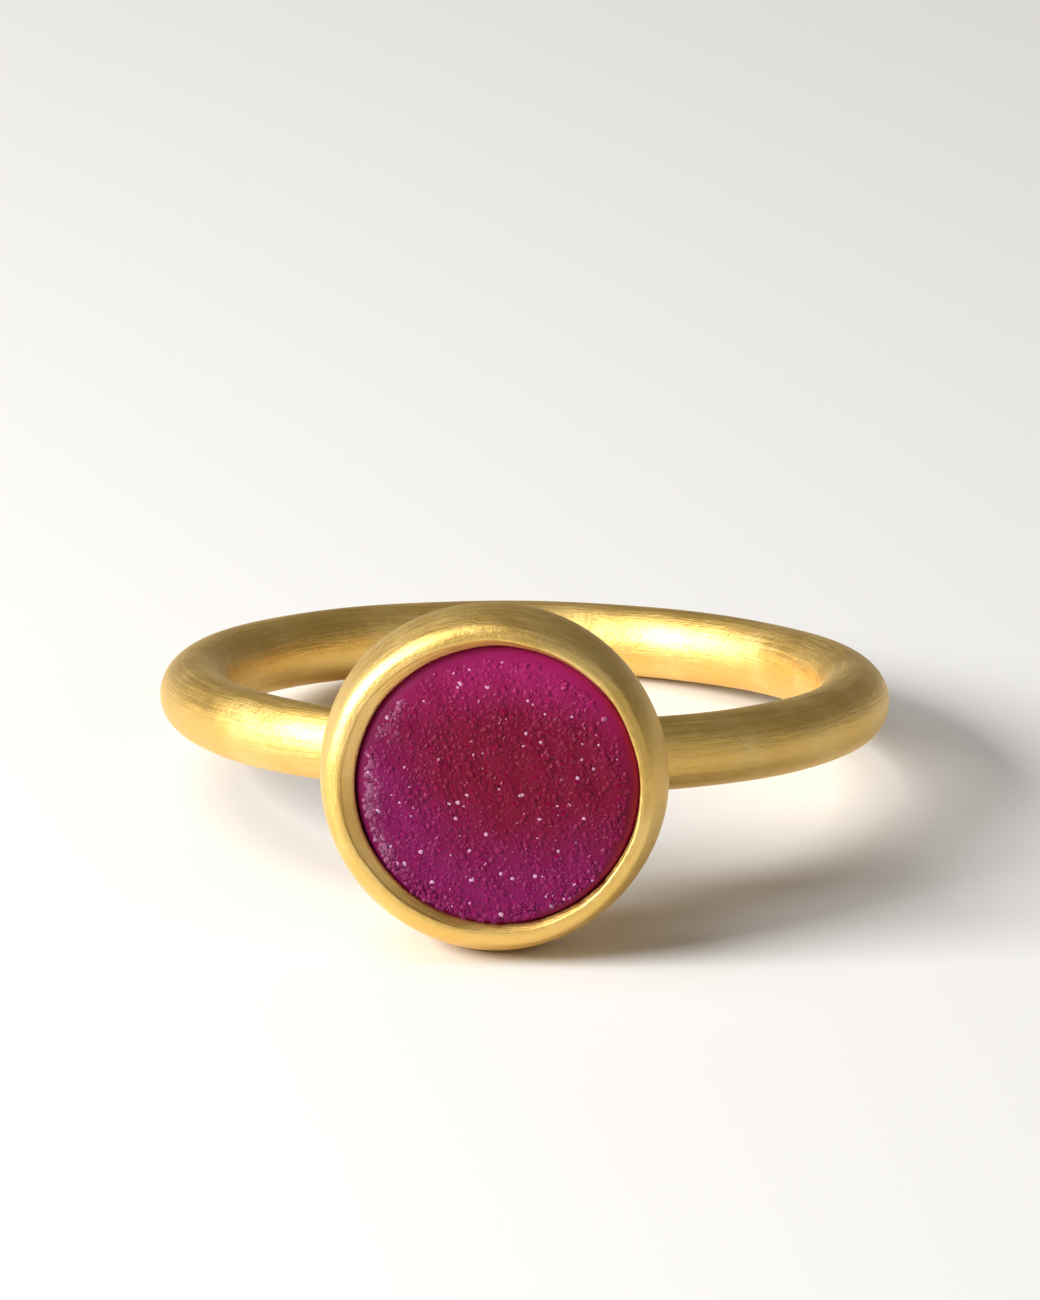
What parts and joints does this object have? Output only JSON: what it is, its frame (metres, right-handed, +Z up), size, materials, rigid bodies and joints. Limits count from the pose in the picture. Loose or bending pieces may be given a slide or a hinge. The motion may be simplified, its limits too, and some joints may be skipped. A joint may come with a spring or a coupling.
{
  "type": "stackable finger ring",
  "caption": "Slim round-wire finger ring lying on its side, with a round bezel cup holding a disc of raspberry druzy crystal.",
  "frame": {"origin": "on the surface that the ring lies on, under the middle of its bounding box", "axes": "+Z up from the surface, +Y from the stone's side to the far side of the band, +X across the band; the finger hole's axis leans 10.1 degrees from +Z towards +Y"},
  "size_m": [0.0212, 0.025, 0.0098],
  "materials": {
    "satin_gold": "satin, brushed by hand, of the colour of 22 to 24 carat gold",
    "druzy": "fine sparkling crystal crust, dyed raspberry"
  },
  "bodies": {
    "root": {"band_and_bezel_cup": "satin_gold", "druzy_stone": "druzy"}
  },
  "joints": []
}
